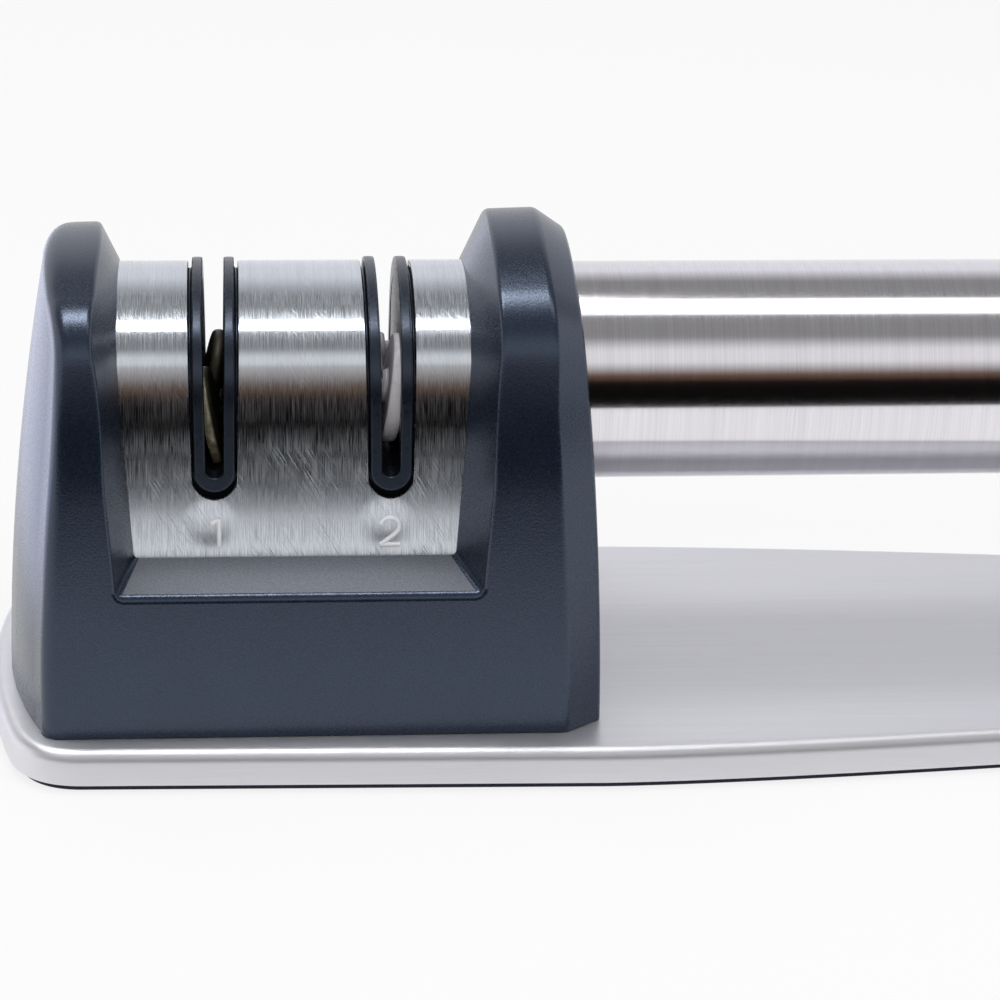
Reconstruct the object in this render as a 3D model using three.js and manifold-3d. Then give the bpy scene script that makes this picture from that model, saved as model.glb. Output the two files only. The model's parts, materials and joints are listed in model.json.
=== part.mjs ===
// Two-stage pull-through knife sharpener: a moulded head with two slots, a tube handle and a steel base.
// Millimetres, +Z up. +X runs from the head to the handle's free end, -Y is the front.
import * as THREE from 'three';
import { mergeVertices } from 'three/addons/utils/BufferGeometryUtils.js';
import Module from 'manifold-3d';

const wasm = await Module();
wasm.setup();

// Overall layout
const overallLength = 200;
const leftEnd = -overallLength / 2;
const seatGap = 0.1; // between flat faces that rest on one another
const fitGap = 0.3; // round pieces that sit inside others
const through = 1; // cutters run this far past the faces that they open

// Base: pad, moulded core and pressed plate
const padThickness = 1;
const padInset = 0.9;
const baseHeight = 5.6;
const plateSheet = 0.8;
const plateEdgeRadius = 1.6;
const handleOverhang = 5; // the handle's end passes the base's right end by this much
const baseHalfWidthLeft = 31;
const baseHalfWidthMax = 32.3;
const baseHalfWidthRight = 23.2;
const baseLeftBow = 5.4; // how far the left end's middle stands proud of its corners
const baseLeftSetback = 3.2; // and of the points where the corners start to turn
const baseLeftCorner = 7.5;
const baseTaperSoft = 26; // length over which the widest part turns into the taper
const baseRightRound = 12;

// Head housing
const headInset = 2.4; // from the base's left end to the head's left end
const headLength = 75.6;
const housingWall = 2.6;
const pillarProud = 7.4; // how far the pillars stand proud of the cover's legs
const leftCrown = -2.4; // and how much less over its crest
const rightCrown = -0.6;
const leftLean = 6.5; // how far the left end leans in at the top
const rightLean = 3.9;
const leanPower = 1.7;
const leftEndRadius = 62;
const leftEdgeRadius = 2.4;
const rightChamferX = 4.6;
const rightChamferInset = 3.6;
const chamferCrownX = 1.1; // how much smaller the right chamfer is over the crest, along X
const chamferCrown = 1.2; // and inwards
const spineRise = 0.9; // the middle line of each end face reaches this share of its arch's height
const leftFaceShares = [1, 0.6, 0.3]; // columns across the bowed left end, from its middle line outwards

// Steel cover: an arch with a crest arc, two shoulder arcs and legs that spread a little to their feet
const crestZ = 58.1;
const crestRadius = 24;
const shoulderRadius = 10.9;
const coverHalfDepth = 17.2; // at the shoulders
const legLean = THREE.MathUtils.degToRad(3.5);
const coverSheet = 0.8;
const coverLap = 1.9; // the cover's side edges tuck this far under the pillars
const coverTuck = 2.6; // and its front and back edges this far below the sill

// Window in the housing round the cover
const windowHalfWidth = 21.85;
const windowShift = 0.85; // the window's middle lies this far left of the head's middle
const windowStraightZ = 51; // below this height the sides close in
const windowNarrowing = 1.7; // by this much at the sill
const windowBevelLeft = [0.3, 0.52]; // sideways spread per millimetre outwards, at the legs and the crest
const windowBevelRight = [0.44, 0.51];
const sillZ = 26.5;
const sillSlope = 0.29;

// Slots and slot guides
const slotPitch = 22;
const slotShift = 0.15; // the slots' middle lies this far right of the head's middle
const coverSlotDepth = 24; // from the crest to the slot's round bottom
const coverSlotHalfBottom = 2.8;
const coverSlotHalfTop = 3.2;
const guideLipDepth = 22.5;
const guideLipHalfBottom = 2.5;
const guideLipHalfTop = 2.65;
const guideLipProud = 0.4;
const guideSlotDepth = 21.2;
const guideSlotHalfBottom = 1.25;
const guideSlotHalfTop = 1.4;
const cheekHalfWidth = 4.8;

// Sharpening discs and their pins
const discRadius = 6.6;
const discThickness = 1.9;
const discEdgeChamfer = 0.25;
const coarseTilt = THREE.MathUtils.degToRad(12);
const fineTilt = THREE.MathUtils.degToRad(8);
const discSpacing = 13.5; // between the front and rear disc centres
const coarseDiscDrop = 17.3; // from the crest to the disc centres
const fineDiscDrop = 13.4;
const coarseFrontOffset = 0.2; // each disc's centre lies this far towards the side that it leans to
const coarseRearOffset = -0.4;
const fineFrontOffset = 0.7;
const fineRearOffset = 1.2;
const discSideGap = 0.4;
const discRimGap = 0.5;
const pinRadius = 1;
const pinBoreGap = 0.3;
const pinSeatGap = 0.1;
const pinEndGap = 0.3;

// Chassis inside the head
const chassisWall = 2;
const chassisTop = 3;
const platformDrop = 1.2; // from the sill down to the platform that the guides stand on
const chassisSideGap = 2;
const chassisLedge = 2; // thickness of the ledge that the cover's edges stand on

// Handle
const tubeAxisZ = 44.4;
const tubeRadius = 14;
const tubeWall = 1;
const tubeSocketDepth = 7;
const socketWall = 2.4;
const plugLength = 18;
const endCapSpigot = 14;
const endCapFlange = 2;
const endCapDome = 3;
const endCapSquareness = 0.5; // below 1, the dome is flatter than an ellipse
const boltRadius = 2.5;
const boltHeadRadius = 4.2;
const boltHeadHeight = 3.5;
const boltReach = 14; // into the plug
const washerRadius = 5.5;
const washerThickness = 1;

// Screws from below
const screwRadius = 1.4;
const screwHeadRadius = 2.6;
const screwHeadHeight = 1.4;
const screwReach = 9; // above the base plate
const screwBossRadius = 3.6;
const screwHoleGap = 0.3;
const screwPilotGap = 0.1;
const housingScrewX = 9; // from the head's ends
const housingScrewY = 20.5;
const chassisScrewX = 12; // from the head's middle
const bossHeight = 13;

// Facets: steps on the leg, the shoulder and the crest of each half arch, and round the turned pieces
const shownArch = [3, 9, 5];
const hiddenArch = [2, 3, 2];
const tubeSteps = 48;
const discSteps = 36;
const boltSteps = 24;
const smallSteps = 12;
const outlineSteps = 8;
const slotSteps = 8;

// Places worked out from the sizes
const headLeft = leftEnd + headInset;
const headRight = headLeft + headLength;
const headMiddle = (headLeft + headRight) / 2;
const headFoot = baseHeight + seatGap;
const baseRight = leftEnd + overallLength - handleOverhang;
const coarseX = headMiddle + slotShift - slotPitch / 2;
const fineX = headMiddle + slotShift + slotPitch / 2;
const windowMiddle = headMiddle - windowShift;
const headTopZ = crestZ + pillarProud + Math.max(leftCrown, rightCrown);
const shoulderAngle = Math.asin((coverHalfDepth - shoulderRadius) / (crestRadius - shoulderRadius));
const crestCentreZ = crestZ - crestRadius;
const shoulderZ = crestCentreZ + (crestRadius - shoulderRadius) * Math.cos(shoulderAngle);
const cavityHalfWidth = windowHalfWidth + coverLap + fitGap;
const platformZ = sillZ - platformDrop;
const ledgeZ = sillZ - coverTuck - seatGap;
const handleEnd = leftEnd + overallLength;
const tubeEnd = handleEnd - endCapFlange - endCapDome;

// Materials
const finish = (color, roughness, metalness) =>
  new THREE.MeshStandardMaterial({ color, roughness, metalness });
const blackAbs = finish(0x2e353f, 0.5, 0);
const innerAbs = finish(0x23262b, 0.6, 0);
const brushedSteel = finish(0xc4c5c6, 0.32, 1);
const plainSteel = finish(0x9a9c9f, 0.4, 1);
const darkAbrasive = finish(0x3b3a30, 0.55, 0.6);
const whiteCeramic = finish(0xe6e4ea, 0.5, 0);
const navyRubber = finish(0x1b1e2b, 0.9, 0);

// Helpers between three.js geometry and solids
const weldDistance = 1e-4;

function toSolid(geometry) {
  const bare = geometry.clone();
  bare.deleteAttribute('normal');
  bare.deleteAttribute('uv');
  const merged = mergeVertices(bare, weldDistance);
  const vertProperties = new Float32Array(merged.attributes.position.array);
  const triVerts = new Uint32Array(merged.index.array);
  return new wasm.Manifold(new wasm.Mesh({ numProp: 3, vertProperties, triVerts }));
}

function toGeometry(solid) {
  const mesh = solid.getMesh();
  const geometry = new THREE.BufferGeometry();
  geometry.setAttribute('position', new THREE.BufferAttribute(new Float32Array(mesh.vertProperties), 3));
  geometry.setIndex(new THREE.BufferAttribute(new Uint32Array(mesh.triVerts), 1));
  geometry.computeVertexNormals();
  return geometry;
}

const cutAll = (solid, cutters) => cutters.reduce((left, cutter) => left.subtract(cutter), solid);
const joinAll = (solids) => solids.reduce((left, right) => left.add(right));

function boxBetween(low, high) {
  const geometry = new THREE.BoxGeometry(high[0] - low[0], high[1] - low[1], high[2] - low[2]);
  geometry.translate((low[0] + high[0]) / 2, (low[1] + high[1]) / 2, (low[2] + high[2]) / 2);
  return toSolid(geometry);
}

// A solid of revolution from [radius, height] pairs, with its axis turned from +Y to the wanted direction
function turned(profile, direction, origin, steps) {
  const geometry = new THREE.LatheGeometry(profile.map(([r, h]) => new THREE.Vector2(r, h)), steps);
  const turn = new THREE.Quaternion().setFromUnitVectors(new THREE.Vector3(0, 1, 0), direction);
  geometry.applyQuaternion(turn);
  geometry.translate(origin.x, origin.y, origin.z);
  return geometry;
}

const alongX = new THREE.Vector3(1, 0, 0);
const alongZ = new THREE.Vector3(0, 0, 1);
const rodProfile = (radius, from, to) => [[0, from], [radius, from], [radius, to], [0, to]];
const rodX = (radius, from, to, y, z, steps) =>
  toSolid(turned(rodProfile(radius, from, to), alongX, new THREE.Vector3(0, y, z), steps));
const rodZ = (radius, from, to, x, y, steps) =>
  toSolid(turned(rodProfile(radius, from, to), alongZ, new THREE.Vector3(x, y, 0), steps));

// A closed mesh through rings of points that all have the same count, capped at both ends
function loft(rings) {
  const count = rings[0].length;
  const positions = rings.flat(2);
  const index = [];
  for (let r = 0; r + 1 < rings.length; r += 1) {
    for (let i = 0; i < count; i += 1) {
      const a = r * count + i;
      const b = r * count + ((i + 1) % count);
      index.push(a, b, b + count, a, b + count, a + count);
    }
  }
  const flat = rings[0].map(([x, y]) => new THREE.Vector2(x, y));
  const last = (rings.length - 1) * count;
  for (const [a, b, c] of THREE.ShapeUtils.triangulateShape(flat, [])) {
    index.push(c, b, a, last + a, last + b, last + c);
  }
  const geometry = new THREE.BufferGeometry();
  geometry.setAttribute('position', new THREE.Float32BufferAttribute(positions, 3));
  geometry.setIndex(index);
  return geometry;
}

// For an arch set outwards by an offset: the height of its legs' tops, and half the depth between its legs
const legTopZ = (offset) => shoulderZ + (shoulderRadius + offset) * Math.sin(legLean);
function legHalf(offset, z) {
  const top = coverHalfDepth - shoulderRadius + (shoulderRadius + offset) * Math.cos(legLean);
  return top + (legTopZ(offset) - z) * Math.tan(legLean);
}

// The cover's arch, set outwards by an offset: points from the front foot over the crest to the back foot.
// A crown lifts or lowers the crest.
function archPoints(offset, footZ, steps = shownArch, crown = 0) {
  const [legSteps, shoulderSteps, crestSteps] = steps;
  const half = [];
  const legTop = legTopZ(offset);
  for (let i = 0; i <= legSteps; i += 1) {
    const z = footZ + ((legTop - footZ) * i) / legSteps;
    half.push([-legHalf(offset, z), z]);
  }
  const shoulderY = -(coverHalfDepth - shoulderRadius);
  for (let i = 1; i <= shoulderSteps; i += 1) {
    const angle = Math.PI - legLean - ((Math.PI / 2 - shoulderAngle - legLean) * i) / shoulderSteps;
    const radius = shoulderRadius + offset + crown * THREE.MathUtils.smoothstep(i / shoulderSteps, 0, 1);
    half.push([shoulderY + radius * Math.cos(angle), shoulderZ + radius * Math.sin(angle)]);
  }
  for (let i = 1; i <= crestSteps; i += 1) {
    const angle = Math.PI / 2 + shoulderAngle * (1 - i / crestSteps);
    const radius = crestRadius + offset + crown;
    half.push([radius * Math.cos(angle), crestCentreZ + radius * Math.sin(angle)]);
  }
  half[half.length - 1][0] = 0;
  const back = half.slice(0, -1).reverse().map(([y, z]) => [-y, z]);
  return [...half, ...back];
}

// How far up the shoulders a point of the arch lies: 0 at the legs, 1 at the crest
const crestShare = (z) => THREE.MathUtils.smoothstep(z, shoulderZ, crestZ);

// A plain arch extruded along X
function archBlock(offset, footZ, fromX, toX, steps = shownArch) {
  const points = archPoints(offset, footZ, steps);
  const shape = new THREE.Shape(points.map(([y, z]) => new THREE.Vector2(y, z)));
  const geometry = new THREE.ExtrudeGeometry(shape, { depth: toX - fromX, bevelEnabled: false });
  geometry.applyMatrix4(new THREE.Matrix4().makeBasis(
    new THREE.Vector3(0, 1, 0), new THREE.Vector3(0, 0, 1), new THREE.Vector3(1, 0, 0)));
  geometry.translate(fromX, 0, 0);
  return toSolid(geometry);
}

// A U-shaped cutter along Y with a round bottom and sides that open a little towards the top
function slotBlock(x, halfBottom, halfTop, bottomZ, topZ) {
  const reach = 2 * coverHalfDepth;
  const shape = new THREE.Shape();
  shape.moveTo(halfTop, topZ);
  shape.lineTo(-halfTop, topZ);
  shape.lineTo(-halfBottom, bottomZ + halfBottom);
  shape.absarc(0, bottomZ + halfBottom, halfBottom, Math.PI, 2 * Math.PI, false);
  shape.closePath();
  const settings = { depth: 2 * reach, bevelEnabled: false, curveSegments: slotSteps };
  const geometry = new THREE.ExtrudeGeometry(shape, settings);
  geometry.applyMatrix4(new THREE.Matrix4().makeBasis(
    new THREE.Vector3(1, 0, 0), new THREE.Vector3(0, 0, 1), new THREE.Vector3(0, -1, 0)));
  geometry.translate(x, reach, 0);
  return toSolid(geometry);
}

// The head's ends lean in with height, and the left end also bows out in plan
const leanAt = (z) => Math.max(0, (z - headFoot) / (headTopZ - headFoot)) ** leanPower;
const leftFace = (y, z) => headLeft + leftLean * leanAt(z) + (y * y) / (2 * leftEndRadius);
const rightFace = (z) => headRight - rightLean * leanAt(z);
const socketFloorX = rightFace(tubeAxisZ) - tubeSocketDepth;

// The head's outer body, or with a wall its inside: one row of points per arch point, each running from
// the spine of the left end over the rounded left edge, the strip and the right chamfer to the right spine.
function headBody(wall, footZ, steps) {
  const filletSteps = 4;
  const ringInside = (inset, crown) => archPoints(pillarProud - wall - inset, footZ, steps, crown);
  const columns = [];
  const leftEdge = ringInside(leftEdgeRadius, leftCrown);
  const spineOf = ([, z]) => [0, footZ + (z - footZ) * spineRise];
  const between = ([ay, az], [by, bz], t) => [ay + (by - ay) * t, az + (bz - az) * t];
  const leftPoint = ([y, z]) => [leftFace(y, z) + wall, y, z];
  for (const share of leftFaceShares) {
    columns.push(leftEdge.map((point) => leftPoint(between(point, spineOf(point), share))));
  }
  for (let i = 0; i <= filletSteps; i += 1) {
    const angle = (Math.PI / 2) * (1 - i / filletSteps);
    const ring = ringInside(leftEdgeRadius * (1 - Math.cos(angle)), leftCrown);
    columns.push(ring.map(([y, z], row) => {
      const faceX = leftFace(leftEdge[row][0], leftEdge[row][1]) + wall;
      return [faceX + leftEdgeRadius * (1 - Math.sin(angle)), y, z];
    }));
  }
  const strip = ringInside(0, rightCrown);
  const chamferWidth = (z) => rightChamferX - chamferCrownX * crestShare(z);
  columns.push(strip.map(([y, z]) => [rightFace(z) - wall - chamferWidth(z), y, z]));
  const chamfer = ringInside(rightChamferInset, rightCrown + chamferCrown);
  columns.push(chamfer.map(([y, z]) => [rightFace(z) - wall, y, z]));
  columns.push(chamfer.map((point) => {
    const [y, z] = spineOf(point);
    return [rightFace(z) - wall, y, z];
  }));
  return toSolid(closeGrid(columns));
}

// Joins columns of points into a closed mesh: the grid itself and a flat foot between first and last rows
function closeGrid(columns) {
  const rows = columns[0].length;
  const index = [];
  for (let c = 0; c + 1 < columns.length; c += 1) {
    for (let r = 0; r + 1 < rows; r += 1) {
      const a = c * rows + r;
      const b = a + rows;
      index.push(a, b, b + 1, a, b + 1, a + 1);
    }
    const front = c * rows;
    const back = front + rows - 1;
    index.push(front, back, back + rows, front, back + rows, front + rows);
  }
  const geometry = new THREE.BufferGeometry();
  geometry.setAttribute('position', new THREE.Float32BufferAttribute(columns.flat(2), 3));
  geometry.setIndex(index);
  return geometry;
}

// The window: a bevelled channel over the arch between the two sills
function windowCutter() {
  const out = 2 * pillarProud;
  const inner = archPoints(0, sillZ);
  const outer = archPoints(out, sillZ - sillSlope * out);
  const rings = inner.map(([innerY, innerZ], row) => {
    const [outerY, outerZ] = outer[row];
    const down = Math.max(0, (windowStraightZ - innerZ) / (windowStraightZ - sillZ));
    const half = windowHalfWidth - windowNarrowing * down;
    const left = windowMiddle - half;
    const right = windowMiddle + half;
    const up = crestShare(innerZ);
    return [
      [left, innerY, innerZ],
      [left - THREE.MathUtils.lerp(...windowBevelLeft, up) * out, outerY, outerZ],
      [right + THREE.MathUtils.lerp(...windowBevelRight, up) * out, outerY, outerZ],
      [right, innerY, innerZ],
    ];
  });
  return toSolid(prism(rings));
}

// A closed mesh through four-point rings, capped with two triangles at each end
function prism(rings) {
  const index = [];
  for (let r = 0; r + 1 < rings.length; r += 1) {
    for (let i = 0; i < 4; i += 1) {
      const a = r * 4 + i;
      const b = r * 4 + ((i + 1) % 4);
      index.push(a, b, b + 4, a, b + 4, a + 4);
    }
  }
  const last = (rings.length - 1) * 4;
  index.push(0, 2, 1, 0, 3, 2, last, last + 1, last + 2, last, last + 2, last + 3);
  const geometry = new THREE.BufferGeometry();
  geometry.setAttribute('position', new THREE.Float32BufferAttribute(rings.flat(2), 3));
  geometry.setIndex(index);
  return geometry;
}

// Screw places
const housingScrews = [
  [headLeft + housingScrewX, -housingScrewY],
  [headLeft + housingScrewX, housingScrewY],
  [headRight - housingScrewX, -housingScrewY],
  [headRight - housingScrewX, housingScrewY],
];
const chassisScrews = [
  [headMiddle - chassisScrewX, 0],
  [headMiddle + chassisScrewX, 0],
];
const allScrews = [...housingScrews, ...chassisScrews];

// Base outline: a bowed left end, sides that widen to the head's end and then taper, and a round right end
function baseOutline(inset) {
  const cornerY = baseHalfWidthLeft - baseLeftCorner;
  const sideStart = leftEnd + baseLeftBow + baseLeftCorner;
  const softX = headRight + baseTaperSoft;
  const taperEnd = baseRight - baseRightRound;
  const taperSlope = (baseHalfWidthMax - baseHalfWidthRight) / (taperEnd - softX);
  const roundY = baseHalfWidthRight - taperSlope * baseRightRound;
  const path = new THREE.Path();
  path.moveTo(leftEnd, 0);
  path.quadraticCurveTo(leftEnd, -cornerY / 2, leftEnd + baseLeftSetback, -cornerY);
  path.quadraticCurveTo(leftEnd + baseLeftBow, -baseHalfWidthLeft, sideStart, -baseHalfWidthLeft);
  path.lineTo(headRight, -baseHalfWidthMax);
  path.quadraticCurveTo(softX, -baseHalfWidthMax, taperEnd, -baseHalfWidthRight);
  path.quadraticCurveTo(baseRight, -roundY, baseRight, 0);
  const front = path.getPoints(outlineSteps);
  const back = front.slice(1, -1).reverse().map((p) => new THREE.Vector2(p.x, -p.y));
  const outline = [...front, ...back];
  return outline.map((point, i) => {
    const before = outline[(i + outline.length - 1) % outline.length];
    const after = outline[(i + 1) % outline.length];
    const along = new THREE.Vector2().subVectors(after, before).normalize();
    return [point.x - along.y * inset, point.y + along.x * inset];
  });
}

const ringAt = (inset, z) => baseOutline(inset).map(([x, y]) => [x, y, z]);

function basePad() {
  return loft([ringAt(padInset, 0), ringAt(padInset, padThickness)]);
}

function basePlate() {
  const edgeSteps = 3;
  const skin = (inset, bottom, top, radius) => {
    const rings = [ringAt(inset, bottom)];
    for (let i = 0; i <= edgeSteps; i += 1) {
      const angle = (Math.PI / 2) * (i / edgeSteps);
      rings.push(ringAt(inset + radius * (1 - Math.cos(angle)), top - radius * (1 - Math.sin(angle))));
    }
    return toSolid(loft(rings));
  };
  const bottom = padThickness + seatGap;
  const outer = skin(0, bottom, baseHeight, plateEdgeRadius);
  const inner = skin(plateSheet, bottom - through, baseHeight - plateSheet, plateEdgeRadius - plateSheet / 2);
  const holes = allScrews.map(([x, y]) =>
    rodZ(screwRadius + screwHoleGap, bottom, baseHeight + through, x, y, smallSteps));
  return toGeometry(cutAll(outer.subtract(inner), holes));
}

function baseCore() {
  const bottom = padThickness + seatGap;
  const top = baseHeight - plateSheet - seatGap;
  const side = plateSheet + fitGap;
  const block = toSolid(loft([
    ringAt(side, bottom),
    ringAt(side, top - plateEdgeRadius),
    ringAt(side + plateEdgeRadius, top),
  ]));
  const holes = allScrews.flatMap(([x, y]) => [
    rodZ(screwRadius + screwHoleGap, 0, baseHeight, x, y, smallSteps),
    rodZ(screwHeadRadius + fitGap, 0, bottom + screwHeadHeight + seatGap, x, y, smallSteps),
  ]);
  return toGeometry(cutAll(block, holes));
}

function screw([x, y]) {
  const under = padThickness + 2 * seatGap;
  const profile = [
    [0, under],
    [screwHeadRadius, under],
    [screwHeadRadius, under + screwHeadHeight - seatGap],
    [screwRadius, under + screwHeadHeight - seatGap],
    [screwRadius, baseHeight + screwReach],
    [0, baseHeight + screwReach],
  ];
  return turned(profile, alongZ, new THREE.Vector3(x, y, 0), smallSteps);
}

const pilotHole = ([x, y]) =>
  rodZ(screwRadius + screwPilotGap, 0, baseHeight + screwReach + 2 * seatGap, x, y, smallSteps);

function headHousing() {
  const coverRoom = archBlock(fitGap, 0, windowMiddle - cavityHalfWidth, windowMiddle + cavityHalfWidth);
  const keepHalf = windowHalfWidth + Math.max(...windowBevelRight) * pillarProud + housingWall;
  const keepFloor = sillZ - sillSlope * pillarProud - housingWall;
  const keepDepth = legHalf(pillarProud, headFoot);
  const keepWindow = boxBetween(
    [windowMiddle - keepHalf, -keepDepth, keepFloor], [windowMiddle + keepHalf, keepDepth, headTopZ]);
  const socketRadius = tubeRadius + fitGap;
  const keepSocket = rodX(socketRadius + socketWall, headMiddle, headRight, 0, tubeAxisZ, tubeSteps);
  const bossTop = baseHeight + bossHeight;
  const bosses = housingScrews.map(([x, y]) => rodZ(screwBossRadius, 0, bossTop, x, y, smallSteps));
  const hollow = headBody(housingWall, headFoot - through, hiddenArch);
  const inside = cutAll(hollow, [keepWindow, keepSocket, ...bosses]);
  const socket = rodX(socketRadius, socketFloorX, headRight + through, 0, tubeAxisZ, tubeSteps);
  const boltHole = rodX(boltRadius + fitGap, headMiddle, headRight, 0, tubeAxisZ, smallSteps);
  return toGeometry(cutAll(headBody(0, headFoot, shownArch), [
    inside,
    coverRoom,
    windowCutter(),
    socket,
    boltHole,
    ...housingScrews.map(pilotHole),
  ]));
}

function steelCover() {
  const half = windowHalfWidth + coverLap;
  const foot = sillZ - coverTuck;
  const left = windowMiddle - half;
  const right = windowMiddle + half;
  const outer = archBlock(0, foot, left, right);
  const inner = archBlock(-coverSheet, foot - through, left - through, right + through);
  const slots = [coarseX, fineX].map((x) =>
    slotBlock(x, coverSlotHalfBottom, coverSlotHalfTop, crestZ - coverSlotDepth, crestZ + through));
  return toGeometry(cutAll(outer.subtract(inner), slots));
}

function chassis() {
  const left = windowMiddle - windowHalfWidth;
  const right = windowMiddle + windowHalfWidth;
  const halfY = coverHalfDepth - coverSheet - chassisSideGap;
  const body = boxBetween([left, -halfY, headFoot], [right, halfY, platformZ]);
  const ledgeY = legHalf(0, ledgeZ);
  const ledge = boxBetween([left, -ledgeY, ledgeZ - chassisLedge], [right, ledgeY, ledgeZ]);
  const hollow = boxBetween(
    [left + chassisWall, -halfY + chassisWall, headFoot - through],
    [right - chassisWall, halfY - chassisWall, platformZ - chassisTop]);
  const bosses = chassisScrews.map(([x, y]) =>
    rodZ(screwBossRadius, headFoot, platformZ - chassisTop / 2, x, y, smallSteps));
  const shell = joinAll([body.add(ledge).subtract(hollow), ...bosses]);
  return toGeometry(cutAll(shell, chassisScrews.map(pilotHole)));
}

// Each stage: where its slot is, how deep its discs sit, which way the front disc leans (+1 to the right)
// and how far its front and rear discs are set over
const stages = [
  {
    name: 'coarse',
    x: coarseX,
    discZ: crestZ - coarseDiscDrop,
    frontLean: -1,
    tilt: coarseTilt,
    offsets: { front: coarseFrontOffset, rear: coarseRearOffset },
    material: darkAbrasive,
  },
  {
    name: 'fine',
    x: fineX,
    discZ: crestZ - fineDiscDrop,
    frontLean: 1,
    tilt: fineTilt,
    offsets: { front: fineFrontOffset, rear: fineRearOffset },
    material: whiteCeramic,
  },
];
const rows = ['front', 'rear'];

// Centre and axis of a stage's front or rear disc
function discPlace(stage, row) {
  const side = row === 'front' ? -1 : 1;
  const lean = -side * stage.frontLean;
  const x = stage.x + lean * stage.offsets[row];
  const centre = new THREE.Vector3(x, (side * discSpacing) / 2, stage.discZ);
  const axis = new THREE.Vector3(Math.cos(stage.tilt), 0, -lean * Math.sin(stage.tilt));
  return { centre, axis };
}

function slotGuide(stage) {
  const footZ = platformZ + seatGap;
  const left = stage.x - cheekHalfWidth;
  const right = stage.x + cheekHalfWidth;
  const body = archBlock(-coverSheet - fitGap, footZ, left, right, hiddenArch);
  const lipBody = archBlock(guideLipProud, footZ, left, right);
  const above = crestZ + 2 * guideLipProud;
  const lip = lipBody.intersect(
    slotBlock(stage.x, guideLipHalfBottom, guideLipHalfTop, crestZ - guideLipDepth, above));
  const slot = slotBlock(stage.x, guideSlotHalfBottom, guideSlotHalfTop, crestZ - guideSlotDepth, above);
  const cuts = rows.flatMap((row) => {
    const { centre, axis } = discPlace(stage, row);
    const half = discThickness / 2 + discSideGap;
    const pocket = turned(rodProfile(discRadius + discRimGap, -half, half), axis, centre, discSteps);
    const reach = 2 * cheekHalfWidth;
    const bore = turned(rodProfile(pinRadius + pinSeatGap, -reach, reach), axis, centre, smallSteps);
    return [toSolid(pocket), toSolid(bore)];
  });
  return toGeometry(cutAll(body.add(lip), [slot, ...cuts]));
}

function sharpeningDisc(stage, row) {
  const { centre, axis } = discPlace(stage, row);
  const half = discThickness / 2;
  const bore = pinRadius + pinBoreGap;
  const profile = [
    [bore, -half],
    [discRadius - discEdgeChamfer, -half],
    [discRadius, -half + discEdgeChamfer],
    [discRadius, half - discEdgeChamfer],
    [discRadius - discEdgeChamfer, half],
    [bore, half],
    [bore, -half],
  ];
  return turned(profile, axis, centre, discSteps);
}

function spindlePin(stage, row) {
  const { centre, axis } = discPlace(stage, row);
  const toLeft = (centre.x - stage.x + cheekHalfWidth) / axis.x - pinEndGap;
  const toRight = (stage.x + cheekHalfWidth - centre.x) / axis.x - pinEndGap;
  return turned(rodProfile(pinRadius, -toLeft, toRight), axis, centre, smallSteps);
}

// Handle, all on the tube's axis
const onHandleAxis = new THREE.Vector3(0, 0, tubeAxisZ);
const tubeStart = socketFloorX + fitGap;
const plugRadius = tubeRadius - tubeWall - fitGap;
const boltHeadX = windowMiddle + cavityHalfWidth - washerThickness - 2 * seatGap;

function handleTube() {
  const inner = tubeRadius - tubeWall;
  const profile = [
    [inner, tubeStart],
    [tubeRadius, tubeStart],
    [tubeRadius, tubeEnd],
    [inner, tubeEnd],
    [inner, tubeStart],
  ];
  return turned(profile, alongX, onHandleAxis, tubeSteps);
}

function handlePlug() {
  const boltRoom = boltRadius + pinSeatGap;
  const blind = tubeStart + boltReach + fitGap;
  const profile = [
    [boltRoom, tubeStart],
    [plugRadius, tubeStart],
    [plugRadius, tubeStart + plugLength],
    [0, tubeStart + plugLength],
    [0, blind],
    [boltRoom, blind],
    [boltRoom, tubeStart],
  ];
  return turned(profile, alongX, onHandleAxis, tubeSteps);
}

function handleBolt() {
  const profile = [
    [0, boltHeadX - boltHeadHeight],
    [boltHeadRadius, boltHeadX - boltHeadHeight],
    [boltHeadRadius, boltHeadX],
    [boltRadius, boltHeadX],
    [boltRadius, tubeStart + boltReach],
    [0, tubeStart + boltReach],
  ];
  return turned(profile, alongX, onHandleAxis, boltSteps);
}

function boltWasher() {
  const from = boltHeadX + seatGap;
  const hole = boltRadius + fitGap;
  const profile = [
    [hole, from],
    [washerRadius, from],
    [washerRadius, from + washerThickness],
    [hole, from + washerThickness],
    [hole, from],
  ];
  return turned(profile, alongX, onHandleAxis, boltSteps);
}

function handleEndCap() {
  const flangeFrom = tubeEnd + seatGap;
  const flangeTo = tubeEnd + endCapFlange;
  const domeSteps = 6;
  const profile = [
    [0, tubeEnd - endCapSpigot],
    [plugRadius, tubeEnd - endCapSpigot],
    [plugRadius, flangeFrom],
    [tubeRadius, flangeFrom],
  ];
  for (let i = 0; i <= domeSteps; i += 1) {
    const angle = (Math.PI / 2) * (i / domeSteps);
    const radius = i === domeSteps ? 0 : tubeRadius * Math.cos(angle) ** endCapSquareness;
    profile.push([radius, flangeTo + endCapDome * Math.sin(angle)]);
  }
  return turned(profile, alongX, onHandleAxis, tubeSteps);
}

// Assembly
const sharpener = new THREE.Group();

function place(name, geometry, material) {
  const mesh = new THREE.Mesh(geometry, material);
  mesh.name = name;
  sharpener.add(mesh);
}

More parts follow.
